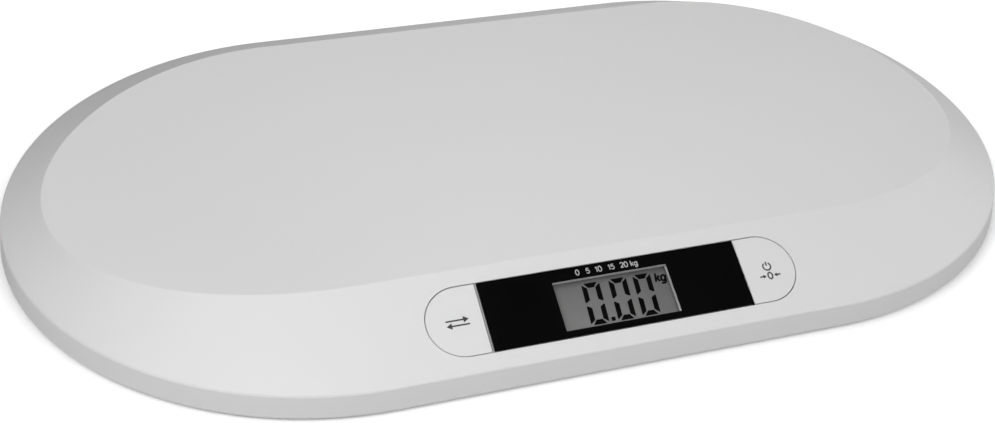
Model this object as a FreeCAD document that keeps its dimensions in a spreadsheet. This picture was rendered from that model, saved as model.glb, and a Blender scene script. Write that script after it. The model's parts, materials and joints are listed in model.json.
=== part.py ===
import FreeCAD, Part
import math
import os
import re
import Sketcher

# Animal weighing scale. Millimetres. +X runs along the length, -Y faces the user, +Z is up.
# The origin is on the table, below the middle of the tray.
#
# Three frames are used. Most pieces are placed in the part's own frame. The pieces of the control
# group are placed on the front band: x along the band, v up its slope from the skirt's top edge,
# w out of its surface. The pieces of a foot are placed about the foot's own vertical axis.

SIZES = (
    # housing form
    ("skirt_low", 2.0),
    ("edge_level", 13.5),
    ("edge_radius", 160.0),
    ("end_centre", 113.5),
    ("skirt_draft", 1.5),
    ("band_slope", 26.3),
    ("end_slope", 29.9),
    ("roof_rise", 30.0),
    ("tray_level", 25.6),
    ("tray_radius", 584.0),
    ("wall", 3.0),
    ("edge_round", 1.5),
    ("ridge_round", 0.8),
    # stiffening ribs under the tray
    ("rib_low", 17.6),
    ("rib_wide", 1.6),
    ("rib_half_x", 165.0),
    ("rib_half_y", 95.0),
    ("rib_pitch_x", 55.0),
    ("rib_pitch_y", 40.0),
    # control group on the front band
    ("pill_low", 8.3),
    ("pill_radius", 17.9),
    ("pill_end", 94.35),
    ("pill_split", 65.8),
    ("button_gap", 0.5),
    ("flat_gap", 0.95),
    ("button_lip", 1.2),
    ("button_skin", 1.6),
    ("button_wall", 1.4),
    ("button_edge", 0.35),
    ("button_post", 2.2),
    ("button_rib_half", 12.5),
    ("button_rib_wide", 1.2),
    ("stop_gap", 0.05),
    ("press", 0.5),
    ("lens_shift", 0.475),
    ("lens_wide", 132.15),
    ("lens_gap", 0.15),
    ("lens_proud", 0.4),
    ("lens_bevel", 0.3),
    ("mask_depth", 0.6),
    ("mask_play", 0.1),
    ("recess_depth", 0.9),
    ("window_half", 29.2),
    ("window_low", 12.5),
    ("window_tall", 25.0),
    ("glass_ply", 1.1),
    ("glass_half", 33.0),
    ("glass_low", 9.9),
    ("glass_tall", 30.0),
    ("contact_ledge", 3.3),
    ("frame_wall", 2.2),
    ("frame_over", 1.4),
    ("frame_play", 0.15),
    ("frame_ledge", 2.0),
    ("zebra_wide", 2.4),
    ("zebra_inset", 3.0),
    ("zebra_play", 0.2),
    # circuit board and what it carries
    ("board_depth", 9.0),
    ("board_thick", 1.6),
    ("board_half", 88.0),
    ("board_low", 8.4),
    ("board_tall", 34.6),
    ("board_post_x", 57.0),
    ("board_post_low", 13.0),
    ("board_post_high", 38.5),
    ("switch_x", 80.0),
    ("switch_side", 6.0),
    ("switch_tall", 3.5),
    ("switch_floor", 0.7),
    ("plunger_radius", 1.65),
    ("plunger_fit", 0.09),
    ("plunger_slack", 0.1),
    ("plunger_out", 0.6),
    ("blob_x", 10.0),
    ("blob_up_slope", 25.0),
    ("crystal_x", 41.0),
    ("crystal_up_slope", 20.0),
    ("crystal_wide", 4.7),
    ("crystal_long", 11.5),
    ("crystal_tall", 3.5),
    ("crystal_round", 1.0),
    ("can_x", -45.0),
    ("can_low", 19.0),
    ("can_high", 32.0),
    ("can_radius", 2.5),
    ("can_tall", 5.1),
    ("can_groove", 1.4),
    # screws
    ("pilot_radius", 1.25),
    ("cover_pilot", 11.0),
    ("clamp_pilot", 7.0),
    ("board_pilot", 5.5),
    ("cover_screw_long", 11.0),
    ("clamp_screw_long", 9.5),
    ("board_screw_long", 7.9),
    ("screw_tip", 1.0),
    ("shank_radius", 1.2),
    ("head_radius", 2.9),
    ("head_play", 0.15),
    ("head_rim", 0.25),
    ("head_cone", 1.7),
    ("pan_tall", 1.9),
    ("pan_round", 0.6),
    ("cross_half", 1.6),
    ("cross_wide", 0.8),
    ("cross_deep", 1.0),
    ("screw_clear", 1.6),
    ("boss_radius", 3.5),
    ("board_post_radius", 3.0),
    # bottom cover
    ("cover_low", 2.6),
    ("cover_thick", 2.0),
    ("cover_gap", 0.9),
    ("lip_inset", 2.2),
    ("lip_thick", 1.5),
    ("lip_tall", 3.4),
    # feet and load cells
    ("foot_x", 182.0),
    ("foot_y", 88.0),
    ("foot_opening", 22.5),
    ("pad_radius", 18.0),
    ("pad_thick", 2.5),
    ("pad_hollow", 8.0),
    ("pad_dish", 0.4),
    ("pad_round", 0.8),
    ("pad_fit", 0.2),
    ("hub_radius", 20.0),
    ("hub_low", 1.5),
    ("hub_disc", 4.5),
    ("hub_boss", 6.0),
    ("hub_round", 0.6),
    ("hub_foot", 1.5),
    ("cell_low", 10.0),
    ("cell_thick", 2.0),
    ("cell_side", 34.0),
    ("cell_round", 2.0),
    ("cell_reach", 10.5),
    ("cell_slit", 1.6),
    ("seat_side", 38.0),
    ("seat_inner", 29.0),
    ("notch_long", 14.0),
    ("notch_wide", 4.0),
    ("notch_tall", 3.4),
    ("clamp_screw", 21.8),
    ("clamp_thick", 2.0),
    ("clamp_end", 4.0),
    ("clamp_bore", 13.0),
    ("clamp_round", 5.0),
    ("gauge_out", 9.5),
    ("gauge_wide", 7.0),
    ("gauge_long", 11.0),
    ("gauge_tall", 2.2),
    # battery bay
    ("bay_front", 13.2),
    ("bay_long", 50.0),
    ("bay_half", 17.3),
    ("bay_top", 15.6),
    ("bay_wall", 2.0),
    ("bay_roof", 1.6),
    ("ledge_half", 25.0),
    ("ledge_thick", 2.6),
    ("ledge_ahead", 3.0),
    ("ledge_behind", 5.5),
    ("door_half", 21.7),
    ("door_gap", 0.3),
    ("door_thick", 1.8),
    ("door_front", 9.8),
    ("tongue_half", 6.0),
    ("tongue_thick", 1.0),
    ("tongue_tall", 2.4),
    ("tongue_room", 0.5),
    ("scoop_half", 9.0),
    ("scoop_long", 6.5),
    ("scoop_deep", 1.2),
    ("grip_half", 8.0),
    ("grip_start", 2.5),
    ("grip_pitch", 2.0),
    ("grip_wide", 0.9),
    ("grip_deep", 0.4),
    ("hinge_y", 66.5),
    ("hinge_radius", 1.8),
    ("pin_radius", 1.0),
    ("pin_fit", 0.08),
    ("pin_long", 1.6),
    ("pin_bore", 2.0),
    ("hinge_rib", 1.2),
    ("hinge_room", 4.0),
    ("battery_radius", 5.25),
    ("battery_long", 44.5),
    ("battery_pitch", 11.0),
    ("battery_level", 10.0),
    ("battery_round", 0.5),
    ("battery_play", 0.2),
    ("base_radius", 3.4),
    ("base_dish", 0.3),
    ("cap_radius", 1.9),
    ("cap_tall", 1.2),
    ("plate_thick", 0.4),
    ("plate_half", 4.7),
    ("plate_half_tall", 4.2),
    ("spring_wire", 0.3),
    ("spring_radius", 2.6),
    ("spring_pitch", 1.2),
    # wiring
    ("cable_radius", 1.0),
    ("lead_radius", 0.7),
    ("lead_play", 0.25),
    ("cable_inset", 13.0),
    ("wire_level", 13.1),
    ("solder_up_slope", 38.0),
)
ALIASES = {alias for alias, _ in SIZES}

doc = FreeCAD.newDocument("animal_scale")
sheet = doc.addObject("Spreadsheet::Sheet", "Sizes")
for row, (alias, size) in enumerate(SIZES, start=1):
    sheet.set(f"A{row}", alias)
    sheet.set(f"B{row}", str(size))
    sheet.setAlias(f"B{row}", alias)
doc.recompute()

nodes = {}


# ---------------------------------------------------------------- expressions and placing

def bound(text):
    """The expression in text, with the sheet's name put before each of its aliases."""
    return re.sub(r"[a-z_]+", lambda word: f"Sizes.{word[0]}" if word[0] in ALIASES else word[0], text)


def number(text):
    """The value that an expression has now."""
    return float(sheet.evalExpression(bound(text)))


def put(obj, x="0", y="0", z="0"):
    """Place obj at a point of the part's frame."""
    for axis, text in zip("xyz", (x, y, z)):
        obj.setExpression(f"Placement.Base.{axis}", bound(text))
    return obj


def put_on_band(obj, x="0", v="0", w="0"):
    """Place obj on the front band, its own Z out of the band's surface."""
    rise, run = "sin(band_slope * 1deg)", "cos(band_slope * 1deg)"
    put(obj, x,
        f"-edge_radius + ({v}) * {run} - ({w}) * {rise}",
        f"edge_level + ({v}) * {rise} + ({w}) * {run}")
    obj.setExpression("Placement.Rotation.Angle", bound("band_slope * 1deg"))
    obj.Placement.Rotation = FreeCAD.Rotation(FreeCAD.Vector(1, 0, 0), number("band_slope"))
    return obj


def node(name, obj):
    """Register obj as the finished sub-part called name."""
    obj.Label = name
    nodes[name] = obj
    return obj


# ---------------------------------------------------------------- sketches

def sketch_in(body, level="0", role="XY_Plane"):
    """A sketch parallel to one of the body's origin planes, at a level along its normal."""
    sketch = body.newObject("Sketcher::SketchObject", f"{body.Name}_sketch")
    plane = next(item for item in body.Origin.OriginFeatures if item.Role == role)
    sketch.AttachmentSupport = [(plane, "")]
    sketch.MapMode = "FlatFace"
    sketch.setExpression("AttachmentOffset.Base.z", bound(level))
    return sketch


def fix_point(sketch, geometry, end, x, y):
    """Hold one point of a sketch at (x, y), both expressions."""
    for kind, text in (("DistanceX", x), ("DistanceY", y)):
        index = sketch.addConstraint(Sketcher.Constraint(kind, -1, 1, geometry, end, number(text)))
        sketch.setExpression(f".Constraints[{index}]", bound(text))


def fix_radius(sketch, geometry, radius):
    index = sketch.addConstraint(Sketcher.Constraint("Radius", geometry, number(radius)))
    sketch.setExpression(f".Constraints[{index}]", bound(radius))


def polygon(sketch, points):
    """A closed outline of straight lines through points, each a pair of expressions."""
    corners = [FreeCAD.Vector(number(x), number(y), 0) for x, y in points]
    first = sketch.GeometryCount
    for here, there in zip(corners, corners[1:] + corners[:1]):
        sketch.addGeometry(Part.LineSegment(here, there))
    for step, (x, y) in enumerate(points):
        before = first + (step - 1) % len(points)
        sketch.addConstraint(Sketcher.Constraint("Coincident", before, 2, first + step, 1))
        fix_point(sketch, first + step, 1, x, y)
    return sketch


def rectangle(sketch, left, low, wide, tall):
    right, high = f"({left}) + ({wide})", f"({low}) + ({tall})"
    return polygon(sketch, ((left, low), (right, low), (right, high), (left, high)))


def centred(sketch, wide, tall, x="0", y="0"):
    """A rectangle about the point (x, y)."""
    return rectangle(sketch, f"({x}) - ({wide}) / 2", f"({y}) - ({tall}) / 2", wide, tall)


def circle(sketch, radius, x="0", y="0"):
    centre = FreeCAD.Vector(number(x), number(y), 0)
    index = sketch.addGeometry(Part.Circle(centre, FreeCAD.Vector(0, 0, 1), number(radius)))
    fix_point(sketch, index, 3, x, y)
    fix_radius(sketch, index, radius)
    return sketch


def arc(sketch, x, y, radius, start, end):
    """An arc whose centre is held at (x, y); its ends stay free."""
    centre = FreeCAD.Vector(number(x), number(y), 0)
    full = Part.Circle(centre, FreeCAD.Vector(0, 0, 1), number(radius))
    index = sketch.addGeometry(Part.ArcOfCircle(full, start, end))
    fix_point(sketch, index, 3, x, y)
    fix_radius(sketch, index, radius)
    return index


def racetrack(sketch, centre, radius):
    """Two half circles about (+-centre, 0), joined by tangent straight lines."""
    right = arc(sketch, centre, "0", radius, -math.pi / 2, math.pi / 2)
    left = arc(sketch, f"-({centre})", "0", radius, math.pi / 2, 3 * math.pi / 2)
    c, r = number(centre), number(radius)
    top = sketch.addGeometry(Part.LineSegment(FreeCAD.Vector(c, r, 0), FreeCAD.Vector(-c, r, 0)))
    low = sketch.addGeometry(Part.LineSegment(FreeCAD.Vector(-c, -r, 0), FreeCAD.Vector(c, -r, 0)))
    for first, second in ((right, top), (top, left), (left, low), (low, right)):
        sketch.addConstraint(Sketcher.Constraint("Tangent", first, 2, second, 1))
    return sketch


def button_outline(sketch, side, grow, flat):
    """The D of a button: a half circle grown outward, and a straight side that far from the middle."""
    centre_x, centre_v = f"{side} * (pill_end - pill_radius)", "pill_low + pill_radius"
    radius = f"pill_radius + ({grow})"
    flat_x = f"{side} * ({flat})"
    high, low = f"{centre_v} + {radius}", f"{centre_v} - ({radius})"
    start = -math.pi / 2 if side > 0 else math.pi / 2
    round_end = arc(sketch, centre_x, centre_v, radius, start, start + math.pi)
    first_v, last_v = (high, low) if side > 0 else (low, high)
    route = [(centre_x, first_v), (flat_x, first_v), (flat_x, last_v), (centre_x, last_v)]
    points = [FreeCAD.Vector(number(x), number(v), 0) for x, v in route]
    lines = [sketch.addGeometry(Part.LineSegment(*pair)) for pair in zip(points, points[1:])]
    sketch.addConstraint(Sketcher.Constraint("Tangent", round_end, 2, lines[0], 1))
    sketch.addConstraint(Sketcher.Constraint("Coincident", lines[0], 2, lines[1], 1))
    sketch.addConstraint(Sketcher.Constraint("Coincident", lines[1], 2, lines[2], 1))
    sketch.addConstraint(Sketcher.Constraint("Tangent", lines[2], 2, round_end, 1))
    fix_point(sketch, lines[1], 1, flat_x, first_v)
    fix_point(sketch, lines[1], 2, flat_x, last_v)
    return sketch


# ---------------------------------------------------------------- features

def new_body(name):
    return doc.addObject("PartDesign::Body", name)


def pad(sketch, length):
    """Add material from the sketch along its normal."""
    feature = sketch.getParentGeoFeatureGroup().newObject("PartDesign::Pad", f"{sketch.Name}_pad")
    feature.Profile = sketch
    feature.setExpression("Length", bound(length))
    return feature


def pocket(sketch, length, both_ways=False):
    """Remove material from the sketch along its normal, or half each way."""
    feature = sketch.getParentGeoFeatureGroup().newObject("PartDesign::Pocket", f"{sketch.Name}_pocket")
    feature.Profile = sketch
    feature.setExpression("Length", bound(length))
    feature.Reversed = not both_ways
    feature.Midplane = both_ways
    return feature


def revolve(body, points):
    """Turn a closed outline of (radius, height) points about the body's Z axis."""
    sketch = polygon(sketch_in(body, role="XZ_Plane"), points)
    feature = body.newObject("PartDesign::Revolution", f"{body.Name}_turned")
    feature.Profile = sketch
    axis = next(item for item in body.Origin.OriginFeatures if item.Role == "Z_Axis")
    feature.ReferenceAxis = (axis, [""])
    feature.Angle = 360
    return feature


def round_edges(body, size, wanted, kind="PartDesign::Fillet"):
    """Fillet or chamfer the tip's edges for which wanted(edge) is true."""
    doc.recompute()
    base = body.Tip
    names = [f"Edge{i}" for i, edge in enumerate(base.Shape.Edges, start=1) if wanted(edge)]
    feature = body.newObject(kind, f"{body.Name}_edges")
    feature.Base = (base, names)
    prop = "Radius" if kind.endswith("Fillet") else "Size"
    feature.setExpression(prop, bound(size))
    return feature


def at_height(level):
    """A test for edges that lie flat at the given height of the body's own frame."""
    return lambda edge: all(abs(vertex.Z - level) < 1e-4 for vertex in edge.Vertexes)


def box(name, x, y, z, wide, deep, tall):
    """A box whose lowest corner is at (x, y, z)."""
    obj = put(doc.addObject("Part::Box", name), x, y, z)
    for prop, text in zip(("Length", "Width", "Height"), (wide, deep, tall)):
        obj.setExpression(prop, bound(text))
    return obj


def rod(name, radius, tall):
    obj = doc.addObject("Part::Cylinder", name)
    obj.setExpression("Radius", bound(radius))
    obj.setExpression("Height", bound(tall))
    return obj


def joined(name, shapes):
    obj = doc.addObject("Part::MultiFuse", name)
    obj.Shapes = shapes
    return obj


def group(name, shapes):
    """Separate solids kept in one object."""
    obj = doc.addObject("Part::Compound", name)
    obj.Links = shapes
    return obj


def less(name, base, tool):
    obj = doc.addObject("Part::Cut", name)
    obj.Base = base
    obj.Tool = tool
    return obj


def copy_of(master, name):
    link = doc.addObject("App::Link", name)
    link.LinkedObject = master
    return link


CORNERS = (("front_left", -1, -1), ("front_right", 1, -1), ("back_left", -1, 1), ("back_right", 1, 1))
COVER_BOSSES = ((-236, 0), (236, 0), (-120, -126), (120, -126), (-120, 126), (120, 126), (0, 118), (0, -92))


def foot_point(side_x, side_y):
    return f"{side_x} * foot_x", f"{side_y} * foot_y"


def clamp_screw_point(side_x, side_y, side):
    return f"{side_x} * foot_x", f"{side_y} * foot_y + {side} * clamp_screw"


# ---------------------------------------------------------------- housing

def casing_form(name, inset, low):
    """The housing's outer form moved in by inset: skirt, sloped band, and trough-shaped top."""
    body = new_body(name)
    roof_radius = "edge_radius - roof_rise / tan(band_slope * 1deg)"
    roof_end = "edge_radius + end_centre - roof_rise / tan(end_slope * 1deg)"
    lift = f"({inset}) / cos(band_slope * 1deg)"
    edge = f"edge_level + ({inset}) * tan(band_slope * 1deg) - {lift}"
    sections = (
        (low, "end_centre", f"edge_radius + skirt_draft - ({inset})"),
        (edge, "end_centre", f"edge_radius - ({inset})"),
        (f"edge_level + roof_rise - {lift}", f"{roof_end} - ({roof_radius})", roof_radius),
    )
    outlines = [racetrack(sketch_in(body, level), centre, radius) for level, centre, radius in sections]
    loft = body.newObject("PartDesign::AdditiveLoft", f"{name}_loft")
    loft.Profile = outlines[0]
    loft.Sections = outlines[1:]
    loft.Ruled = True
    trough = circle(sketch_in(body, role="YZ_Plane"), f"tray_radius + ({inset})",
                    "0", "tray_level + tray_radius")
    pocket(trough, "4 * edge_radius", both_ways=True)
    return body


def on_ridge(edge):
    """True for the edges where the band meets the tray."""
    centre_height = number("tray_level + tray_radius")
    radii = [math.hypot(vertex.Y, vertex.Z - centre_height) for vertex in edge.Vertexes]
    return all(abs(radius - number("tray_radius")) < 1e-3 for radius in radii)


def make_ribs():
    ribs = []
    for step in (-1, 0, 1):
        ribs.append(box("rib_along", "-rib_half_x", f"{step} * rib_pitch_y - rib_wide / 2", "rib_low",
                        "2 * rib_half_x", "rib_wide", "roof_rise"))
    for step in (-2, -1, 0, 1, 2):
        ribs.append(box("rib_across", f"{step} * rib_pitch_x - rib_wide / 2", "-rib_half_y", "rib_low",
                        "rib_wide", "2 * rib_half_y", "roof_rise"))
    return ribs


def make_seat(side_x, side_y):
    """Square tube that rests on a load cell's rim, with the two posts for its clamp."""
    body = new_body("cell_seat")
    centred(sketch := sketch_in(body, "cell_low + cell_thick"), "seat_side", "seat_side")
    pad(sketch, "roof_rise")
    centred(sketch := sketch_in(body, "cell_low + cell_thick"), "seat_inner", "seat_inner")
    pocket(sketch, "roof_rise")
    notch = sketch_in(body, "cell_low + cell_thick")
    centred(notch, "notch_long", "notch_wide", f"-{side_x} * seat_side / 2")
    pocket(notch, "notch_tall")
    put(body, *foot_point(side_x, side_y))
    posts = []
    for side in (-1, 1):
        post = rod("clamp_post", "boss_radius", "roof_rise")
        posts.append(put(post, *clamp_screw_point(side_x, side_y, side), "cell_low"))
    return [body] + posts


def make_pilots():
    """Holes for the screws' threads in all the housing's posts."""
    pilots = []
    for x, y in COVER_BOSSES:
        pilot = rod("pilot", "pilot_radius", "cover_pilot")
        pilots.append(put(pilot, str(x), str(y), "cover_low + cover_thick"))
    for _, side_x, side_y in CORNERS:
        for side in (-1, 1):
            pilot = rod("pilot", "pilot_radius", "clamp_pilot")
            pilots.append(put(pilot, *clamp_screw_point(side_x, side_y, side), "cell_low"))
    for side in (-1, 1):
        for up_slope in ("board_post_low", "board_post_high"):
            pilot = rod("pilot", "pilot_radius", "board_pilot")
            pilots.append(put_on_band(pilot, f"{side} * board_post_x", up_slope, "-board_depth"))
    return pilots


def make_top_shell():
    outer = casing_form("outer_form", "0", "skirt_low")
    round_edges(outer, "ridge_round", on_ridge)
    round_edges(outer, "edge_round", at_height(number("edge_level")))
    inner = casing_form("inner_form", "wall", "skirt_low - 1")

    supports = make_ribs()
    for _, side_x, side_y in CORNERS:
        supports += make_seat(side_x, side_y)
    for x, y in COVER_BOSSES:
        supports.append(put(rod("cover_post", "boss_radius", "2 * roof_rise"), str(x), str(y),
                            "cover_low + cover_thick"))
    for side in (-1, 1):
        for up_slope in ("board_post_low", "board_post_high"):
            post = rod("board_post", "board_post_radius", "board_depth")
            supports.append(put_on_band(post, f"{side} * board_post_x", up_slope, "-board_depth"))
    hollow = less("hollow", inner, joined("supports", supports))
    blank = less("shell_blank", outer, hollow)

    openings = new_body("band_openings")
    rectangle(sketch := sketch_in(openings, "-recess_depth"), "-pill_split", "pill_low",
              "2 * pill_split", "2 * pill_radius")
    pad(sketch, "2 * wall")
    rectangle(sketch := sketch_in(openings, "-2 * wall"), "-window_half", "window_low",
              "2 * window_half", "window_tall")
    pad(sketch, "2 * wall")
    for side in (-1, 1):
        button_outline(sketch := sketch_in(openings, "-2 * wall"), side, "0", "pill_split")
        pad(sketch, "4 * wall")
    put_on_band(openings)
    node("top_shell", less("top_shell", blank, group("shell_cuts", [openings] + make_pilots())))


# ---------------------------------------------------------------- display and buttons

def band_plate(name, left, low, wide, tall, depth, thick):
    """A flat plate on the band whose back is depth below the band's surface."""
    body = new_body(name)
    rectangle(sketch := sketch_in(body, f"-({depth})"), left, low, wide, tall)
    pad(sketch, thick)
    return put_on_band(body)


def make_display():
    lens_left = "lens_shift - lens_wide / 2"
    low, tall = "pill_low + lens_gap", "2 * (pill_radius - lens_gap)"
    lens = band_plate("display_lens", lens_left, low, "lens_wide", tall,
                      "mask_depth", "mask_depth + lens_proud")
    round_edges(lens, "lens_bevel", at_height(number("lens_proud")), "PartDesign::Chamfer")
    node("display_lens", lens)

    mask = band_plate("display_mask", lens_left, low, "lens_wide", tall,
                      "recess_depth", "recess_depth - mask_depth")
    rectangle(sketch := sketch_in(mask, "-recess_depth"), "-window_half - mask_play",
              "window_low - mask_play", "2 * (window_half + mask_play)", "window_tall + 2 * mask_play")
    pocket(sketch, "recess_depth")
    node("display_mask", mask)

    face = "wall + mask_play"
    glass_back = f"{face} + 2 * glass_ply"
    glass = band_plate("lcd_glass", "-glass_half", "glass_low", "2 * glass_half", "glass_tall",
                       f"{face} + glass_ply", "glass_ply")
    rectangle(sketch := sketch_in(glass, f"-({glass_back})"), "-glass_half", "glass_low + contact_ledge",
              "2 * glass_half", "glass_tall - contact_ledge")
    pad(sketch, "glass_ply")
    node("lcd_glass", glass)

    holder = band_plate("lcd_frame", "-glass_half - frame_wall", "glass_low - frame_over",
                        "2 * (glass_half + frame_wall)", "glass_tall + 2 * frame_over",
                        "board_depth", f"board_depth - ({face})")
    rectangle(sketch := sketch_in(holder, f"-({glass_back})"), "-glass_half - frame_play",
              "glass_low - frame_play", "2 * (glass_half + frame_play)", "glass_tall + 2 * frame_play")
    pocket(sketch, "board_depth")
    rectangle(sketch := sketch_in(holder, "-board_depth"), "-glass_half + frame_ledge",
              "glass_low + contact_ledge + frame_ledge / 2",
              "2 * (glass_half - frame_ledge)", "glass_tall - contact_ledge - 1.5 * frame_ledge")
    pocket(sketch, "board_depth")
    rectangle(sketch := sketch_in(holder, "-board_depth"), "-glass_half + zebra_inset - zebra_play",
              "glass_low + zebra_play",
              "2 * (glass_half - zebra_inset + zebra_play)", "zebra_wide + 2 * zebra_play")
    pocket(sketch, "board_depth")
    node("lcd_frame", holder)

    node("zebra_strip", band_plate("zebra_strip", "-glass_half + zebra_inset", "glass_low + 2 * zebra_play",
                                   "2 * (glass_half - zebra_inset)", "zebra_wide",
                                   "board_depth", f"board_depth - ({face}) - glass_ply"))


def make_button(name, side):
    """Hollow D-shaped cap with a lip under the housing's wall and a post over its switch."""
    body = new_body(name)
    lip_top = "-wall - stop_gap"
    centre_v = "pill_low + pill_radius"
    catch = "button_lip - button_gap"
    button_outline(sketch := sketch_in(body, f"{lip_top} - button_lip"), side, catch,
                   f"pill_split - ({catch})")
    pad(sketch, "button_lip")
    button_outline(sketch := sketch_in(body, lip_top), side, "-button_gap", "pill_split + flat_gap")
    pad(sketch, "wall + stop_gap")
    round_edges(body, "button_edge", at_height(0.0))
    button_outline(sketch := sketch_in(body, f"{lip_top} - button_lip"), side, "-button_gap - button_wall",
                   "pill_split + flat_gap + button_wall")
    pocket(sketch, "wall + stop_gap + button_lip - button_skin")
    circle(sketch := sketch_in(body, "-board_depth + switch_tall + plunger_out"), "button_post",
           f"{side} * switch_x", centre_v)
    pad(sketch, "board_depth - switch_tall - plunger_out - button_skin / 2")
    centred(sketch := sketch_in(body, "-wall"), "2 * button_rib_half", "button_rib_wide",
            f"{side} * switch_x", centre_v)
    pad(sketch, "wall - button_skin / 2")
    node(name, put_on_band(body))


def make_switch(prefix, side):
    """Square push switch on the board, with its separate plunger."""
    centre = (f"{side} * switch_x", "pill_low + pill_radius")
    housing = new_body(f"{prefix}_switch")
    centred(sketch := sketch_in(housing, "-board_depth"), "switch_side", "switch_side", *centre)
    pad(sketch, "switch_tall")
    bore = sketch_in(housing, "-board_depth + switch_floor")
    circle(bore, "plunger_radius + plunger_fit", *centre)
    pocket(bore, "switch_tall")
    node(f"{prefix}_switch", put_on_band(housing))

    plunger = new_body(f"{prefix}_plunger")
    foot = "switch_floor + plunger_slack + press"
    circle(sketch := sketch_in(plunger, f"-board_depth + {foot}"), "plunger_radius", *centre)
    pad(sketch, f"switch_tall + plunger_out - ({foot})")
    node(f"{prefix}_plunger", put_on_band(plunger))


# ---------------------------------------------------------------- circuit board

def make_board():
    board = band_plate("main_board", "-board_half", "board_low", "2 * board_half", "board_tall",
                       "board_depth + board_thick", "board_thick")
    for side in (-1, 1):
        for up_slope in ("board_post_low", "board_post_high"):
            circle(sketch := sketch_in(board, "-board_depth - board_thick"), "screw_clear",
                   f"{side} * board_post_x", up_slope)
            pocket(sketch, "board_thick")
    node("main_board", board)

    chip = new_body("controller_blob")
    revolve(chip, (("0", "0"), ("8", "0"), ("6.4", "-1.1"), ("3.6", "-1.7"), ("0", "-1.9")))
    node("controller_blob", put_on_band(chip, "blob_x", "blob_up_slope", "-board_depth - board_thick"))

    crystal = band_plate("crystal", "crystal_x", "crystal_up_slope", "crystal_wide", "crystal_long",
                         "board_depth", "crystal_tall")
    round_edges(crystal, "crystal_round", lambda edge: edge.Length < number("crystal_tall") + 0.1)
    node("crystal", crystal)

    cans = []
    for up_slope in ("can_low", "can_high"):
        can = new_body("capacitor")
        revolve(can, (("0", "0"), ("can_radius", "0"), ("can_radius", "can_groove - 0.3"),
                      ("can_radius - 0.2", "can_groove"), ("can_radius", "can_groove + 0.3"),
                      ("can_radius", "can_tall - 0.3"), ("can_radius - 0.3", "can_tall"), ("0", "can_tall")))
        cans.append(put_on_band(can, "can_x", up_slope, "-board_depth"))
    node("capacitors", group("capacitors", cans))


# ---------------------------------------------------------------- screws

def make_screw_master(name, length, countersunk):
    """A cross-recessed screw that points up, with its head's outer face at height 0."""
    body = new_body(name)
    if countersunk:
        head = (("0", "0"), ("head_radius", "0"), ("head_radius", "head_rim"), ("shank_radius", "head_cone"))
    else:
        head = (("0", "0"), ("head_radius - pan_round", "0"), ("head_radius", "pan_round"),
                ("head_radius", "pan_tall"), ("shank_radius", "pan_tall"))
    revolve(body, head + (("shank_radius", f"{length} - screw_tip"), ("0", length)))
    for wide, tall in (("2 * cross_half", "cross_wide"), ("cross_wide", "2 * cross_half")):
        centred(sketch := sketch_in(body), wide, tall)
        pocket(sketch, "cross_deep")
    return body


def make_screws():
    cover_screw = make_screw_master("cover_screw", "cover_screw_long", True)
    clamp_screw = make_screw_master("clamp_screw", "clamp_screw_long", False)
    board_screw = make_screw_master("board_screw", "board_screw_long", False)
    node("cover_screws", group("cover_screws", [
        put(copy_of(cover_screw, "cover_screw_copy"), str(x), str(y), "cover_low") for x, y in COVER_BOSSES]))
    node("clamp_screws", group("clamp_screws", [
        put(copy_of(clamp_screw, "clamp_screw_copy"), *clamp_screw_point(side_x, side_y, side),
            "cell_low - clamp_thick - pan_tall")
        for _, side_x, side_y in CORNERS for side in (-1, 1)]))
    node("board_screws", group("board_screws", [
        put_on_band(copy_of(board_screw, "board_screw_copy"), f"{side} * board_post_x", up_slope,
                    "-board_depth - board_thick - pan_tall")
        for side in (-1, 1) for up_slope in ("board_post_low", "board_post_high")]))


# ---------------------------------------------------------------- bottom cover and door

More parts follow.
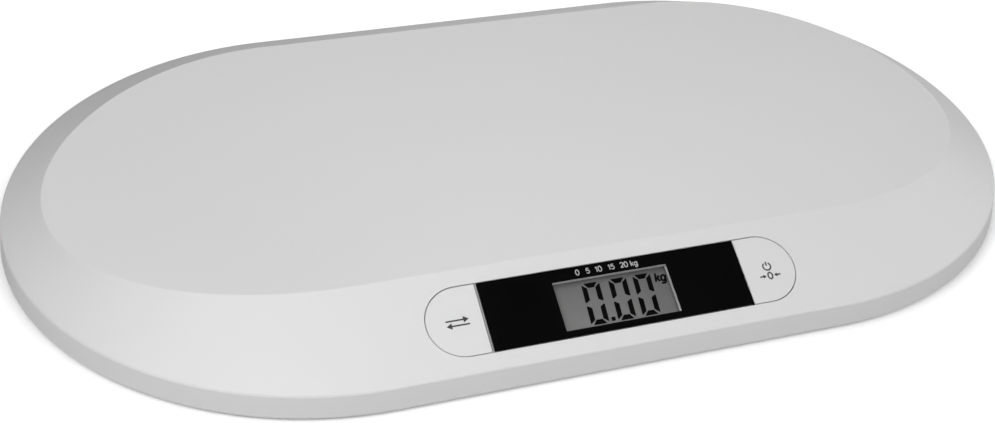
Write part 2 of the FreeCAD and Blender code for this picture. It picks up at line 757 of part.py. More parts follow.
def make_cover():
    body = new_body("bottom_cover")
    top = "cover_low + cover_thick"
    radius = "edge_radius + skirt_draft - wall - cover_gap"
    racetrack(sketch := sketch_in(body, "cover_low"), "end_centre", radius)
    pad(sketch, "cover_thick")
    sketch = racetrack(sketch_in(body, top), "end_centre", f"{radius} - lip_inset")
    racetrack(sketch, "end_centre", f"{radius} - lip_inset - lip_thick")
    pad(sketch, "lip_tall")

    rectangle(sketch := sketch_in(body, top), "-ledge_half", "door_front - ledge_ahead",
              "2 * ledge_half", "hinge_y - door_front + ledge_ahead + ledge_behind")
    pad(sketch, "ledge_thick")
    rectangle(sketch := sketch_in(body, top), "-bay_half - bay_wall", "bay_front - bay_wall",
              "2 * (bay_half + bay_wall)", "bay_long + 2 * bay_wall")
    pad(sketch, f"bay_top + bay_roof - ({top})")
    rectangle(sketch := sketch_in(body, "cover_low"), "-door_half - door_gap", "door_front - door_gap",
              "2 * (door_half + door_gap)", "hinge_y + hinge_radius + 2 * door_gap - door_front")
    pocket(sketch, "cover_thick")
    rectangle(sketch := sketch_in(body, "cover_low"), "-bay_half", "bay_front", "2 * bay_half", "bay_long")
    pocket(sketch, "bay_top - cover_low")
    hinge_wall = "bay_front + bay_long + hinge_rib"
    rectangle(sketch := sketch_in(body, "cover_low"), "-door_half - door_gap", hinge_wall,
              "2 * (door_half + door_gap)", f"hinge_y + hinge_radius + door_gap - ({hinge_wall})")
    pocket(sketch, "hinge_room")
    rectangle(sketch := sketch_in(body, "cover_low"), "-tongue_half - tongue_room", "door_front - door_gap",
              "2 * (tongue_half + tongue_room)", "door_gap + tongue_thick + tongue_room")
    pocket(sketch, "cover_thick + ledge_thick")
    rectangle(sketch := sketch_in(body, "cover_low"), "-scoop_half", "door_front - scoop_long",
              "2 * scoop_half", "scoop_long")
    pocket(sketch, "scoop_deep")

    for side in (-1, 1):
        bore_start = f"{side} * (door_half + door_gap + pin_bore / 2) - pin_bore / 2"
        sketch = circle(sketch_in(body, bore_start, "YZ_Plane"),
                        "pin_radius + pin_fit", "hinge_y", "cover_low + door_thick")
        pocket(sketch, "pin_bore")
        sketch = circle(sketch_in(body, "bay_wall / 2 - bay_front", "XZ_Plane"), "lead_radius + lead_play",
                        f"{side} * battery_pitch", "wire_level")
        pocket(sketch, "2 * bay_wall", both_ways=True)
    for _, side_x, side_y in CORNERS:
        circle(sketch := sketch_in(body, "cover_low"), "foot_opening", *foot_point(side_x, side_y))
        pocket(sketch, "cover_thick")
    doc.recompute()

    sinks = []
    for x, y in COVER_BOSSES:
        hole = new_body("screw_sink")
        revolve(hole, (("0", "-cover_thick"), ("head_radius + head_play", "-cover_thick"),
                       ("head_radius + head_play", "head_rim"), ("screw_clear", "head_cone"),
                       ("screw_clear", "2 * cover_thick"), ("0", "2 * cover_thick")))
        sinks.append(put(hole, str(x), str(y), "cover_low"))
    node("bottom_cover", less("bottom_cover", body, group("screw_sinks", sinks)))


def make_door():
    """Battery lid: plate, hinge barrel with two pins, and a latch tongue at the front."""
    body = new_body("battery_door")
    rectangle(sketch := sketch_in(body, "cover_low"), "-door_half", "door_front",
              "2 * door_half", "hinge_y - door_front")
    pad(sketch, "door_thick")
    circle(sketch := sketch_in(body, "-door_half", "YZ_Plane"), "hinge_radius", "hinge_y",
           "cover_low + door_thick")
    pad(sketch, "2 * door_half")
    circle(sketch := sketch_in(body, "-door_half - pin_long", "YZ_Plane"), "pin_radius", "hinge_y",
           "cover_low + door_thick")
    pad(sketch, "2 * (door_half + pin_long)")
    rectangle(sketch := sketch_in(body, "cover_low"), "-tongue_half", "door_front",
              "2 * tongue_half", "tongue_thick")
    pad(sketch, "door_thick + tongue_tall")
    for step in range(4):
        groove = sketch_in(body, "cover_low")
        rectangle(groove, "-grip_half", f"door_front + grip_start + {step} * grip_pitch",
                  "2 * grip_half", "grip_wide")
        pocket(groove, "grip_deep")
    node("battery_door", body)


# ---------------------------------------------------------------- feet and load cells

def make_foot(corner, side_x, side_y):
    """Rubber pad, hub, load cell and clamp of one corner, from the table up."""
    place = foot_point(side_x, side_y)
    rubber = new_body(f"foot_pad_{corner}")
    revolve(rubber, (("0", "pad_dish"), ("pad_hollow", "pad_dish"), ("pad_hollow + pad_round", "0"),
                     ("pad_radius - pad_round", "0"), ("pad_radius", "pad_round"),
                     ("pad_radius", "pad_thick"), ("0", "pad_thick")))
    node(f"foot_pad_{corner}", put(rubber, *place))

    hub = new_body(f"foot_hub_{corner}")
    disc_top = "hub_low + hub_disc"
    revolve(hub, (("0", "pad_thick"), ("pad_radius + pad_fit", "pad_thick"),
                  ("pad_radius + pad_fit", "hub_low"), ("hub_radius - hub_round", "hub_low"),
                  ("hub_radius", "hub_low + hub_round"), ("hub_radius", disc_top),
                  ("hub_boss + hub_foot", disc_top), ("hub_boss", f"{disc_top} + hub_foot"),
                  ("hub_boss", "cell_low"), ("0", "cell_low")))
    node(f"foot_hub_{corner}", put(hub, *place))

    cell = new_body(f"load_cell_{corner}")
    centred(sketch := sketch_in(cell, "cell_low"), "cell_side", "cell_side")
    pad(sketch, "cell_thick")
    tongue, rim = f"{side_x} * cell_reach", f"{side_x} * (cell_reach - cell_slit)"
    polygon(sketch := sketch_in(cell, "cell_low"), (
        (f"-{tongue}", "cell_reach"), (tongue, "cell_reach"),
        (tongue, "-cell_reach"), (f"-{tongue}", "-cell_reach"),
        (f"-{tongue}", "-cell_reach + cell_slit"), (rim, "-cell_reach + cell_slit"),
        (rim, "cell_reach - cell_slit"), (f"-{tongue}", "cell_reach - cell_slit")))
    pocket(sketch, "cell_thick")
    edge_x = number("cell_side") / 2 - 0.1
    round_edges(cell, "cell_round",
                lambda edge: abs(edge.CenterOfMass.x) > edge_x and abs(edge.CenterOfMass.y) > edge_x)
    node(f"load_cell_{corner}", put(cell, *place))

    clamp = new_body(f"cell_clamp_{corner}")
    level = "cell_low - clamp_thick"
    centred(sketch := sketch_in(clamp, level), "cell_side", "2 * (clamp_screw + clamp_end)")
    pad(sketch, "clamp_thick")
    circle(sketch := sketch_in(clamp, level), "clamp_bore")
    pocket(sketch, "clamp_thick")
    for side in (-1, 1):
        circle(sketch := sketch_in(clamp, level), "screw_clear", "0", f"{side} * clamp_screw")
        pocket(sketch, "clamp_thick")
    end_y = number("clamp_screw")
    round_edges(clamp, "clamp_round",
                lambda edge: abs(edge.CenterOfMass.x) > edge_x and abs(edge.CenterOfMass.y) > end_y + 0.1)
    node(f"cell_clamp_{corner}", put(clamp, *place))


def make_gauges():
    """Coated strain gauges at the roots of the load cells' tongues."""
    coats = []
    for _, side_x, side_y in CORNERS:
        x, y = foot_point(side_x, side_y)
        coats.append(box("gauge_coat", f"{x} - {side_x} * gauge_out - gauge_wide / 2",
                         f"{y} - gauge_long / 2", "cell_low + cell_thick",
                         "gauge_wide", "gauge_long", "gauge_tall"))
    node("strain_gauges", group("strain_gauges", coats))


# ---------------------------------------------------------------- batteries

BATTERIES = (("battery_left", -1, 1), ("battery_middle", 0, -1), ("battery_right", 1, 1))


def make_batteries():
    """Three cells side by side, the middle one turned round; facing is the way a cap points."""
    plates, springs = [], []
    for name, place, facing in BATTERIES:
        cell = new_body(name)
        shoulder, face = "battery_long - cap_tall", "battery_radius - battery_round"
        revolve(cell, (("0", "base_dish"), ("base_radius", "base_dish"), ("base_radius + 0.2", "0"),
                       (face, "0"), ("battery_radius", "battery_round"),
                       ("battery_radius", f"{shoulder} - battery_round"),
                       (face, shoulder), ("cap_radius", shoulder), ("cap_radius", "battery_long - base_dish"),
                       ("cap_radius - base_dish", "battery_long"), ("0", "battery_long")))
        x = f"{place} * battery_pitch"
        middle = "bay_front + bay_long / 2"
        end = f"{middle} - {facing} * (battery_long - bay_long / 2 + plate_thick + battery_play)"
        cell.Placement.Rotation = FreeCAD.Rotation(FreeCAD.Vector(1, 0, 0), -90 * facing)
        node(name, put(cell, x, end, "battery_level"))
        for front in ("bay_front", "bay_front + bay_long - plate_thick"):
            plates.append(box("contact", f"{x} - plate_half", front, "battery_level - plate_half_tall",
                              "2 * plate_half", "plate_thick", "2 * plate_half_tall"))
        springs.append(make_spring(x, f"{middle} - {facing} * (bay_long / 2 - plate_thick)", facing))
    node("battery_plates", group("battery_plates", plates))
    node("battery_springs", group("battery_springs", springs))


def make_spring(x, y, facing):
    """Coil that stands on a contact plate at y and reaches to the cell."""
    coil = doc.addObject("Part::Helix", "spring_line")
    coil.setExpression("Pitch", bound("spring_pitch"))
    coil.setExpression("Height", bound("3 * spring_pitch"))
    coil.setExpression("Radius", bound("spring_radius"))
    coil.SegmentLength = 1
    wire = doc.addObject("Part::Circle", "spring_section")
    wire.setExpression("Radius", bound("spring_wire"))
    turned = FreeCAD.Rotation(FreeCAD.Vector(1, 0, 0), -90 * facing)
    start = f"{y} + {facing} * (spring_wire + 0.05)"
    for obj, offset in ((coil, "0"), (wire, "spring_radius")):
        obj.Placement.Rotation = turned
        put(obj, f"{x} + {offset}", start, "battery_level")
    wire.Placement.Rotation = turned.multiply(FreeCAD.Rotation(FreeCAD.Vector(1, 0, 0), 90))
    spring = doc.addObject("Part::Sweep", "spring")
    spring.Sections = [wire]
    spring.Spine = (coil, [])
    spring.Solid = True
    spring.Frenet = True
    return spring


# ---------------------------------------------------------------- wiring

BEND_SHARE = 0.45


def wire_path(points):
    """Straight runs through points, joined by tangent arcs; returns the wire and its radii."""
    edges, radii = [], []
    start = points[0]
    for before, corner, after in zip(points, points[1:], points[2:]):
        back, ahead = before - corner, after - corner
        half_turn = (math.pi - back.getAngle(ahead)) / 2
        cut = BEND_SHARE * min(back.Length, ahead.Length)
        radii.append(cut / math.tan(half_turn))
        back.normalize()
        ahead.normalize()
        arc_start, arc_end = corner + back * cut, corner + ahead * cut
        inward = back + ahead
        inward.normalize()
        centre = corner + inward * (radii[-1] / math.cos(half_turn))
        middle = centre - inward * radii[-1]
        edges.append(Part.LineSegment(start, arc_start).toShape())
        edges.append(Part.Arc(arc_start, middle, arc_end).toShape())
        start = arc_end
    edges.append(Part.LineSegment(start, points[-1]).toShape())
    return Part.Wire(edges), radii


def make_wire(name, radius, route):
    """A round wire at one level, whose last run rises square onto the board's underside."""
    slope = math.radians(number("band_slope"))
    level = number("wire_level")
    below = number("board_depth + board_thick")
    up_slope = number("solder_up_slope")
    last_x = route[-1][0]
    end = FreeCAD.Vector(
        last_x,
        -number("edge_radius") + up_slope * math.cos(slope) + below * math.sin(slope),
        number("edge_level") + up_slope * math.sin(slope) - below * math.cos(slope))
    turn = FreeCAD.Vector(last_x, end.y + (end.z - level) * math.tan(slope), level)
    points = [FreeCAD.Vector(x, y, level) for x, y in route] + [turn, end]
    path, radii = wire_path(points)
    size = number(radius)
    section = Part.Wire(Part.makeCircle(size, points[0], points[1] - points[0]))
    feature = doc.addObject("Part::Feature", name)
    feature.Shape = path.makePipeShell([section], True, False)
    share = feature.Shape.Volume / (math.pi * size ** 2 * path.Length)
    print(f"{name}: length {path.Length:.1f}, volume share {share:.4f}, radii {[round(r, 1) for r in radii]}")
    node(name, feature)


def make_wiring():
    """Cables of the four load cells and the two leads of the battery bay."""
    gauge_x = number("foot_x") - number("cable_inset")
    foot_y = number("foot_y")
    for corner, side_x, side_y in CORNERS:
        if side_y < 0:
            route = ((gauge_x, -foot_y), (128, -foot_y), (96, -94), (76, -106))
        else:
            route = ((gauge_x, foot_y), (125, foot_y), (88, 66), (68, 20), (62, -36), (66, -84))
        make_wire(f"cell_cable_{corner}", "cable_radius", [(side_x * x, y) for x, y in route])
    bay_front = number("bay_front")
    pitch = number("battery_pitch")
    for colour, side in (("red", -1), ("black", 1)):
        route = ((pitch, bay_front), (pitch, -14), (20, -50), (26, -88))
        make_wire(f"battery_lead_{colour}", "lead_radius", [(side * x, y) for x, y in route])


# ---------------------------------------------------------------- build, check, write

def check_document():
    """Stop if any object failed, or if a pocket removed nothing."""
    for obj in doc.Objects:
        bad = [state for state in obj.State if state in ("Invalid", "Error")]
        if bad:
            raise RuntimeError(f"{obj.Name} is {bad}")
        if obj.TypeId == "PartDesign::Pocket" and obj.BaseFeature:
            if obj.Shape.Volume > obj.BaseFeature.Shape.Volume - 0.01:
                raise RuntimeError(f"{obj.Name} removed nothing")
    for name, obj in nodes.items():
        if obj.Shape.isNull() or not obj.Shape.isValid() or not obj.Shape.Solids:
            raise RuntimeError(f"{name} has no valid solid")


make_top_shell()
make_display()
for button, side in (("unit", -1), ("power", 1)):
    make_button(f"{button}_button", side)
    make_switch(button, side)
make_board()
make_screws()
make_cover()
make_door()
for corner, side_x, side_y in CORNERS:
    make_foot(corner, side_x, side_y)
make_gauges()
make_batteries()
make_wiring()
doc.recompute()
check_document()

os.makedirs("parts", exist_ok=True)
for name, obj in nodes.items():
    obj.Shape.exportStep(f"parts/{name}.step")
    print(f"{name}: {len(obj.Shape.Solids)} solid(s), {obj.Shape.Volume:.1f} mm3")
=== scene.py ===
import json
import math

import bmesh
import bpy
from mathutils import Matrix, Vector


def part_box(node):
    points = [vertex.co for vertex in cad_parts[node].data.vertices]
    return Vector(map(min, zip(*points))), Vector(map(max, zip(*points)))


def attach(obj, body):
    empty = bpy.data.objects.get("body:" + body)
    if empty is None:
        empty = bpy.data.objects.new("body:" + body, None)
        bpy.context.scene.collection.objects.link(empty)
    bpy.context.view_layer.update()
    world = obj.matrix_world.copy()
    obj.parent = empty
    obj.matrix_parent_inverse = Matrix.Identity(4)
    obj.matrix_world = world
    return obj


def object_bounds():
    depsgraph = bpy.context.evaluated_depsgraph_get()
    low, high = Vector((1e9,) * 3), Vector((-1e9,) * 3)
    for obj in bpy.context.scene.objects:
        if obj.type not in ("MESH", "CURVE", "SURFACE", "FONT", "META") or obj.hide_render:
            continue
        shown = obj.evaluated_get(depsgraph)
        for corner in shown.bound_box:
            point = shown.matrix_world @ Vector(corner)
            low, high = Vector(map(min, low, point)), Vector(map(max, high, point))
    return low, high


# This gives the animal weighing scale its materials and its printed and displayed marks, and sets up the
# floor, the light and the camera.
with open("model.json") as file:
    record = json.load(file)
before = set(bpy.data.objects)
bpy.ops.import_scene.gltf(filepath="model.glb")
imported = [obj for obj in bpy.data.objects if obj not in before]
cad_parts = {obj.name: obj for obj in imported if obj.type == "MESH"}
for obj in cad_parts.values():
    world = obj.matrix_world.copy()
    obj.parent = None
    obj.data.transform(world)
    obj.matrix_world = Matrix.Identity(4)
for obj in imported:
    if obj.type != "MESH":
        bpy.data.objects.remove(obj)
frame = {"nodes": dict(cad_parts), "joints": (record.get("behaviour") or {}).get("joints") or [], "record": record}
cad_lo, cad_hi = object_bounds()

MM = 0.001
nodes = frame["nodes"]
SLOT_OF = {part["node"]: part["material_slot"] for part in frame["record"]["subparts"]}
scene = bpy.context.scene
scene.view_settings.view_transform = "Standard"


# ---------------------------------------------------------------- the front band's own axes
# X runs along the scale, V up the sloping band and W out of it; the buttons travel along -W.
press = next(joint for joint in frame["joints"] if joint["name"] == "unit_press")
X_AXIS = Vector((1, 0, 0))
W_AXIS = -Vector(press["axis"]).normalized()
V_AXIS = W_AXIS.cross(X_AXIS)
TO_BAND = Matrix((X_AXIS, V_AXIS, W_AXIS))
FROM_BAND = TO_BAND.transposed()


def span(node):
    """A CAD node's lowest and highest corner along the band's axes."""
    corners = [TO_BAND @ vertex.co for vertex in nodes[node].data.vertices]
    return [Vector(pick(c[i] for c in corners) for i in range(3)) for pick in (min, max)]


LENS_LO, LENS_HI = span("display_lens")
MASK_HI = span("display_mask")[1]
CELL_LO, CELL_HI = span("lcd_glass")
CELL_MID = (CELL_LO + CELL_HI) / 2

# The display cell runs on behind the mask, past the right and upper edges of its window.
CELL_PAST_RIGHT, CELL_PAST_TOP = 3.8 * MM, 2.4 * MM
WINDOW_RIGHT = CELL_HI[0] - CELL_PAST_RIGHT
WINDOW_TOP = CELL_HI[1] - CELL_PAST_TOP


# ---------------------------------------------------------------- material building
NOISE_RANGE = (0.3, 0.7)  # most of a noise texture's values lie between these
PATCH_RANGE = (0.35, 0.7)  # leaves a little more of a surface in its first colour
ROUGH_SPREAD = 0.05  # a surface's roughness goes this far each way from its middle value
FINE_DEPTH = 0.01 * MM


class Graph:
    """A new material's nodes, with short calls to add and join them."""

    def __init__(self, name):
        self.material = bpy.data.materials.new(name)
        self.material.use_nodes = True
        self.tree = self.material.node_tree
        self.tree.nodes.clear()
        self.output = self.node("OutputMaterial")
        self.coords = self.node("TexCoord").outputs["Object"]

    def node(self, kind, **values):
        """Adds a node. Each value is for the property, or else the input, of that name, and _0, _1 and so on
        are the inputs by their place. An input takes a constant or a socket.
        """
        made = self.tree.nodes.new("ShaderNode" + kind)
        for key, value in values.items():
            if hasattr(made, key):
                setattr(made, key, value)
                continue
            socket = made.inputs[int(key[1:])] if key[0] == "_" else made.inputs[key.replace("_", " ")]
            if isinstance(value, bpy.types.NodeSocket):
                self.tree.links.new(value, socket)
            else:
                socket.default_value = value
        return made

    def scaled(self, scale):
        return self.node("Mapping", Vector=self.coords, Scale=scale).outputs[0]

    def noise(self, size, detail=2.0, vector=None, rough=0.5):
        """Noise whose cells are about size metres across."""
        made = self.node(
            "TexNoise", Vector=vector or self.coords, Scale=1 / size, Detail=detail, Roughness=rough
        )
        return made.outputs["Fac"]

    def remap(self, value, low, high, start=0.0, end=1.0):
        """Takes start to low and end to high, and nothing past them."""
        return self.node("MapRange", _0=value, _1=start, _2=end, _3=low, _4=high).outputs[0]

    def spread(self, noise, low, high):
        """Stretches a noise over low to high."""
        return self.remap(noise, low, high, *NOISE_RANGE)

    def maths(self, operation, a, b=0.0):
        return self.node("Math", operation=operation, _0=a, _1=b).outputs[0]

    def axis(self, index):
        return self.node("SeparateXYZ", _0=self.coords).outputs[index]

    def mix(self, factor, a, b):
        made = self.node("Mix", data_type="RGBA", _0=factor, _6=a, _7=b)
        return made.outputs[2]

    def bump(self, height, strength, depth=FINE_DEPTH, normal=None):
        values = {"Height": height, "Strength": strength, "Distance": depth}
        if normal is not None:
            values["Normal"] = normal
        return self.node("Bump", **values).outputs[0]

    def finish(self, shader):
        self.tree.links.new(shader.outputs[0], self.output.inputs["Surface"])
        return self.material


def rgba(colour, share=1.0):
    """A grey or a colour as a socket takes it, with share of its brightness and none past white."""
    colour = (colour,) * 3 if isinstance(colour, (int, float)) else colour
    return (*(min(1.0, c * share) for c in colour), 1.0)


# ---------------------------------------------------------------- the materials
def moulded(
    name, colour, rough, grain=0.0004, relief=0.25, depth=0.00002, uneven=0.02, patch=0.05, **sockets
):
    """Moulded plastic or rubber: a fine all-over grain, with slightly uneven colour and gloss."""
    g = Graph(name)
    fine = g.noise(grain, detail=3.0, rough=0.65)
    broad = g.noise(patch, detail=3.0)
    shader = g.node(
        "BsdfPrincipled",
        Base_Color=g.mix(g.spread(broad, 0, 1), rgba(colour, 1 - uneven), rgba(colour, 1 + uneven)),
        Roughness=g.spread(fine, rough - ROUGH_SPREAD, rough + ROUGH_SPREAD),
        Normal=g.bump(fine, relief, depth),
        **sockets,
    )
    return g.finish(shader)


def metal(name, colour, rough, streak=(1, 1, 1), grain=0.0006):
    """Bare metal: fine streaks or a fine grain in its gloss and its relief, with faint dull patches."""
    g = Graph(name)
    fine = g.noise(grain, detail=4.0, vector=g.scaled(streak))
    dull = g.noise(0.004, detail=4.0)
    shader = g.node(
        "BsdfPrincipled",
        Base_Color=g.mix(g.remap(dull, 0, 1, *PATCH_RANGE), rgba(colour, 0.92), rgba(colour)),
        Metallic=1.0,
        Roughness=g.spread(fine, rough - 0.08, rough + 0.1),
        Normal=g.bump(fine, 0.15),
    )
    return g.finish(shader)


# The clear cover mirrors this share of the light head on and all of it at a grazing angle, and the higher the
# power, the nearer to grazing the rise comes.
MIRROR_HEAD_ON, MIRROR_POWER = 0.03, 5.0


def clear_cover():
    """Clear acrylic: what is behind it shows unbent, under a polish that mirrors more when seen aslant."""
    g = Graph("clear_acrylic")
    facing = g.node("LayerWeight", Blend=0.5).outputs["Facing"]
    wear = g.noise(0.006, detail=4.0)
    gloss = g.node("BsdfGlossy", Color=rgba(1.0), Roughness=g.spread(wear, 0.03, 0.07))
    clear = g.node("BsdfTransparent", Color=rgba(0.97))
    share = g.remap(g.maths("POWER", facing, MIRROR_POWER), MIRROR_HEAD_ON, 1.0)
    return g.finish(g.node("MixShader", _0=share, _1=clear.outputs[0], _2=gloss.outputs[0]))


# The display cell's grey at its lower and upper edge; the darker upper grey is painted shade under the window's
# upper wall. Right beside the window's upper or right wall the cell has only a share of that grey, as a painted
# shadow of that wall, and from the given reach away all of it. It also darkens to the right, as painted shade
# towards the window's right wall.
CELL_LOW_GREY, CELL_HIGH_PAINTED_SHADE_GREY = (0.262, 0.264, 0.26), (0.19, 0.192, 0.189)
TOP_WALL_PAINTED_SHADOW_SHARE, TOP_WALL_PAINTED_SHADOW_REACH = 0.42, 3.3 * MM
RIGHT_WALL_PAINTED_SHADOW_SHARE, RIGHT_WALL_PAINTED_SHADOW_REACH = 0.6, 1.6 * MM
MIDDLE_PAINTED_SHADE_SHARE, RIGHT_PAINTED_SHADE_SHARE = 1.02, 0.82


def display_cell():
    """The display's grey reflective backing, with very fine rubbing lines, and painted shade of its window's rim:
    darker towards its top, beside the window's upper and right walls and towards the right.
    """
    g = Graph("display_cell")
    height = g.node("VectorMath", operation="DOT_PRODUCT", _0=g.coords, _1=V_AXIS).outputs["Value"]
    painted_shade_upward = g.remap(height, 0, 1, CELL_LO[1], CELL_HI[1])
    lines = g.noise(0.00025, detail=2.0, vector=g.scaled((1, 0.02, 0.02)))
    speckle = g.noise(0.00018, detail=1.0)
    # Painted shadows of the window's upper and right walls, and painted shade darkening to the right.
    painted_shadow_below_wall = g.remap(height, TOP_WALL_PAINTED_SHADOW_SHARE, 1.0, WINDOW_TOP, WINDOW_TOP - TOP_WALL_PAINTED_SHADOW_REACH)
    x = g.axis(0)
    painted_shadow_beside_wall = g.remap(x, RIGHT_WALL_PAINTED_SHADOW_SHARE, 1.0, WINDOW_RIGHT, WINDOW_RIGHT - RIGHT_WALL_PAINTED_SHADOW_REACH)
    across = g.remap(x, MIDDLE_PAINTED_SHADE_SHARE, RIGHT_PAINTED_SHADE_SHARE, CELL_MID[0], WINDOW_RIGHT)
    shade = g.maths("MULTIPLY", g.spread(lines, 0.97, 1.02), g.spread(speckle, 0.97, 1.03))
    for part in (painted_shadow_below_wall, painted_shadow_beside_wall, across):
        shade = g.maths("MULTIPLY", shade, part)
    # Painted shade: the grey darkens towards the cell's top, under the window's upper wall.
    grey = g.mix(painted_shade_upward, rgba(CELL_LOW_GREY), rgba(CELL_HIGH_PAINTED_SHADE_GREY))
    shader = g.node(
        "BsdfPrincipled",
        Base_Color=g.node("VectorMath", operation="SCALE", _0=grey, Scale=shade).outputs[0],
        Roughness=g.spread(lines, 0.42, 0.55),
        Normal=g.bump(lines, 0.08, 0.000005),
    )
    return g.finish(shader)


def circuit_board():
    """Green solder mask with the slightly raised copper runs under it showing lighter."""
    g = Graph("circuit_board")
    runs = g.node(
        "TexBrick",
        Vector=g.scaled((1, 1, 0.6)),
        Scale=180.0,
        Mortar_Size=0.09,
        Mortar_Smooth=0.2,
        Color1=rgba(0.0),
        Color2=rgba(0.0),
        Mortar=rgba(1.0),
    ).outputs["Fac"]
    breaks = g.remap(g.noise(0.009, detail=1.0), 0, 1, start=0.46, end=0.52)
    copper = g.maths("MULTIPLY", runs, breaks)
    cloth = g.noise(0.0005, detail=2.0)
    green = g.mix(g.spread(cloth, 0, 1), rgba((0.012, 0.13, 0.05)), rgba((0.018, 0.17, 0.07)))
    shader = g.node(
        "BsdfPrincipled",
        Base_Color=g.mix(copper, green, rgba((0.06, 0.33, 0.12))),
        Roughness=g.spread(cloth, 0.25, 0.38),
        Normal=g.bump(copper, 0.5, 0.00004, g.bump(cloth, 0.1)),
    )
    return g.finish(shader)


# Shares of a battery's length from its plus end: where its sleeve starts and ends, where the copper band
# ends, and the middle and half width of the pale ring beside that band.
SLEEVE_START, SLEEVE_END = 0.05, 0.975
BAND_END = 0.3
RING_MIDDLE, RING_HALF = 0.315, 0.008


def battery(node, plus_end):
    """A battery's printed sleeve, with a copper band by its plus end and bare steel at both ends."""
    lo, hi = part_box(node)
    g = Graph("battery_sleeve_" + node)
    along = g.remap(g.axis(1), 0, 1, lo.y, hi.y)
    from_plus = g.maths("SUBTRACT", 1.0, along) if plus_end > 0 else along
    scuffs = g.noise(0.0012, detail=4.0, vector=g.scaled((1, 0.2, 1)))
    started = g.maths("GREATER_THAN", from_plus, SLEEVE_START)
    sleeve = g.maths("MULTIPLY", started, g.maths("LESS_THAN", from_plus, SLEEVE_END))
    band = g.maths("LESS_THAN", from_plus, BAND_END)
    ring = g.node("Math", operation="COMPARE", _0=from_plus, _1=RING_MIDDLE, _2=RING_HALF).outputs[0]
    print_ink = g.mix(
        g.remap(scuffs, 0, 1, *PATCH_RANGE), rgba((0.012, 0.028, 0.075)), rgba((0.02, 0.045, 0.11))
    )
    print_ink = g.mix(band, print_ink, rgba((0.55, 0.3, 0.12)))
    print_ink = g.mix(ring, print_ink, rgba(0.75))
    shader = g.node(
        "BsdfPrincipled",
        Base_Color=g.mix(sleeve, rgba((0.62, 0.61, 0.58)), print_ink),
        Metallic=g.remap(sleeve, 1.0, 0.15),
        Roughness=g.spread(scuffs, 0.22, 0.4),
        Normal=g.bump(scuffs, 0.1),
    )
    return g.finish(shader)


def striped(name, dark, light, pitch, rough):
    """Thin layers side by side along X, as in the rubber strip that joins a display to its board."""
    g = Graph(name)
    layers = g.node("TexWave", Vector=g.coords, Scale=math.pi / (10 * pitch), Distortion=0.0).outputs["Fac"]
    fine = g.noise(0.0003, detail=2.0)
    shader = g.node(
        "BsdfPrincipled",
        Base_Color=g.mix(g.remap(layers, 0, 1, 0.4, 0.6), rgba(dark), rgba(light)),
        Roughness=g.spread(fine, rough - ROUGH_SPREAD, rough + ROUGH_SPREAD),
        Normal=g.bump(layers, 0.2, 0.00003, g.bump(fine, 0.1)),
    )
    return g.finish(shader)


SHARED = {
    "housing_white": moulded(
        "housing_white", 0.8, 0.46, grain=0.00035, relief=0.22, uneven=0.006, patch=0.12
    ),
    "button_white": moulded(
        "button_white", 0.8, 0.44, grain=0.0003, relief=0.18, uneven=0.006, patch=0.02
    ),
    "base_white": moulded("base_white", 0.74, 0.58, grain=0.0007, relief=0.5, depth=0.00004, uneven=0.012),
    "clear_acrylic": clear_cover(),
    "black_print": moulded(
        "black_print", 0.002, 0.5, grain=0.0005, relief=0.05, uneven=0.2, Specular_IOR_Level=0.05
    ),
    "display_cell": display_cell(),
    "white_inner": moulded("white_inner", 0.78, 0.5, grain=0.0004, relief=0.2, uneven=0.012),
    "contact_rubber": striped("contact_rubber", (0.02, 0.02, 0.022), (0.3, 0.18, 0.2), 0.0005, 0.7),
    "black_plastic": moulded("black_plastic", 0.018, 0.36, grain=0.0003, uneven=0.1),
    "circuit_board": circuit_board(),
    "black_epoxy": moulded("black_epoxy", 0.012, 0.22, grain=0.0016, relief=0.4, depth=0.0001, uneven=0.2),
    "metal_can": metal("metal_can", (0.72, 0.72, 0.73), 0.24, streak=(1, 1, 0.1)),
    "screw_steel": metal("screw_steel", (0.6, 0.6, 0.59), 0.34, grain=0.0004),
    "white_silicone": moulded(
        "white_silicone", (0.85, 0.85, 0.83), 0.4, grain=0.0018, relief=0.5, depth=0.0001
    ),
    "nickel": metal("nickel", (0.7, 0.68, 0.63), 0.22, grain=0.0005),
    "lead_red": moulded("lead_red", (0.55, 0.018, 0.014), 0.38, grain=0.0006, uneven=0.06),
    "lead_black": moulded("lead_black", 0.014, 0.38, grain=0.0006, uneven=0.1),
    "foot_rubber": moulded(
        "foot_rubber", 0.045, 0.72, grain=0.0008, relief=0.6, depth=0.00005, uneven=0.12
    ),
    "hub_grey": moulded("hub_grey", 0.34, 0.5, grain=0.0005, relief=0.35, uneven=0.03),
    "cell_steel": metal("cell_steel", (0.56, 0.56, 0.57), 0.3, streak=(1, 0.05, 1)),
    "cable_grey": moulded("cable_grey", 0.24, 0.5, grain=0.0007, relief=0.3, uneven=0.05),
}
# Whether each battery's plus end points to the back, 1, or to the front, -1.
BATTERY_PLUS = {"battery_left": 1, "battery_middle": -1, "battery_right": 1}
for name, node in nodes.items():
    node.data.materials.clear()
    if name in BATTERY_PLUS:
        node.data.materials.append(battery(name, BATTERY_PLUS[name]))
    else:
        node.data.materials.append(SHARED[SLOT_OF[name]])


# ---------------------------------------------------------------- outlines of marks
def in_mm(points, origin=(0.0, 0.0)):
    """Takes points in mm from origin, itself in mm, to band coordinates in metres."""
    return [((x + origin[0]) * MM, (v + origin[1]) * MM) for x, v in points]


def leaning(points, lean):
    """Shifts each point to the right by lean for each unit of its height."""
    return [(x + lean * v, v) for x, v in points]


